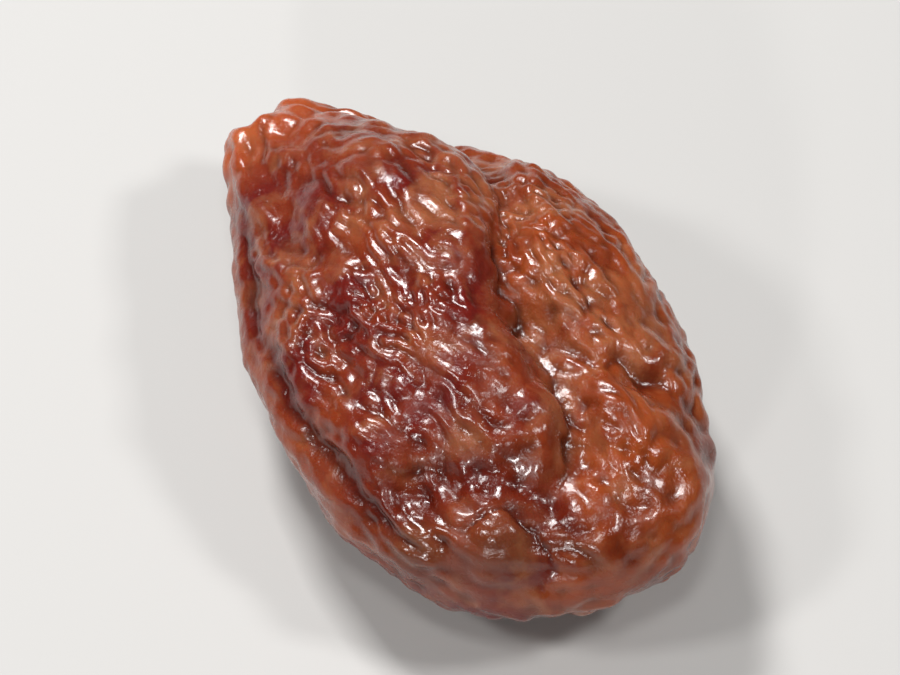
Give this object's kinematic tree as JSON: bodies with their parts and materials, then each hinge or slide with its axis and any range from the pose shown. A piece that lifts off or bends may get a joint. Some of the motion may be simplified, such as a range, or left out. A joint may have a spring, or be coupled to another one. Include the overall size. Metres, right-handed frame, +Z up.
{
  "type": "prune",
  "caption": "Whole dried plum lying on its side: a flattened, pointed oval with a wrinkled skin and a groove along its top.",
  "frame": {"origin": "centre of the bounding box's underside, on the surface that the prune lies on", "axes": "+X from the pointed stem end to the round blossom end, +Z up, +Y towards the smaller lobe"},
  "size_m": [0.043, 0.0268, 0.0171],
  "materials": {
    "prune_skin": "moist, wrinkled, satin to glossy, slightly translucent at the rims"
  },
  "bodies": {
    "root": {"prune": "prune_skin"}
  },
  "joints": []
}
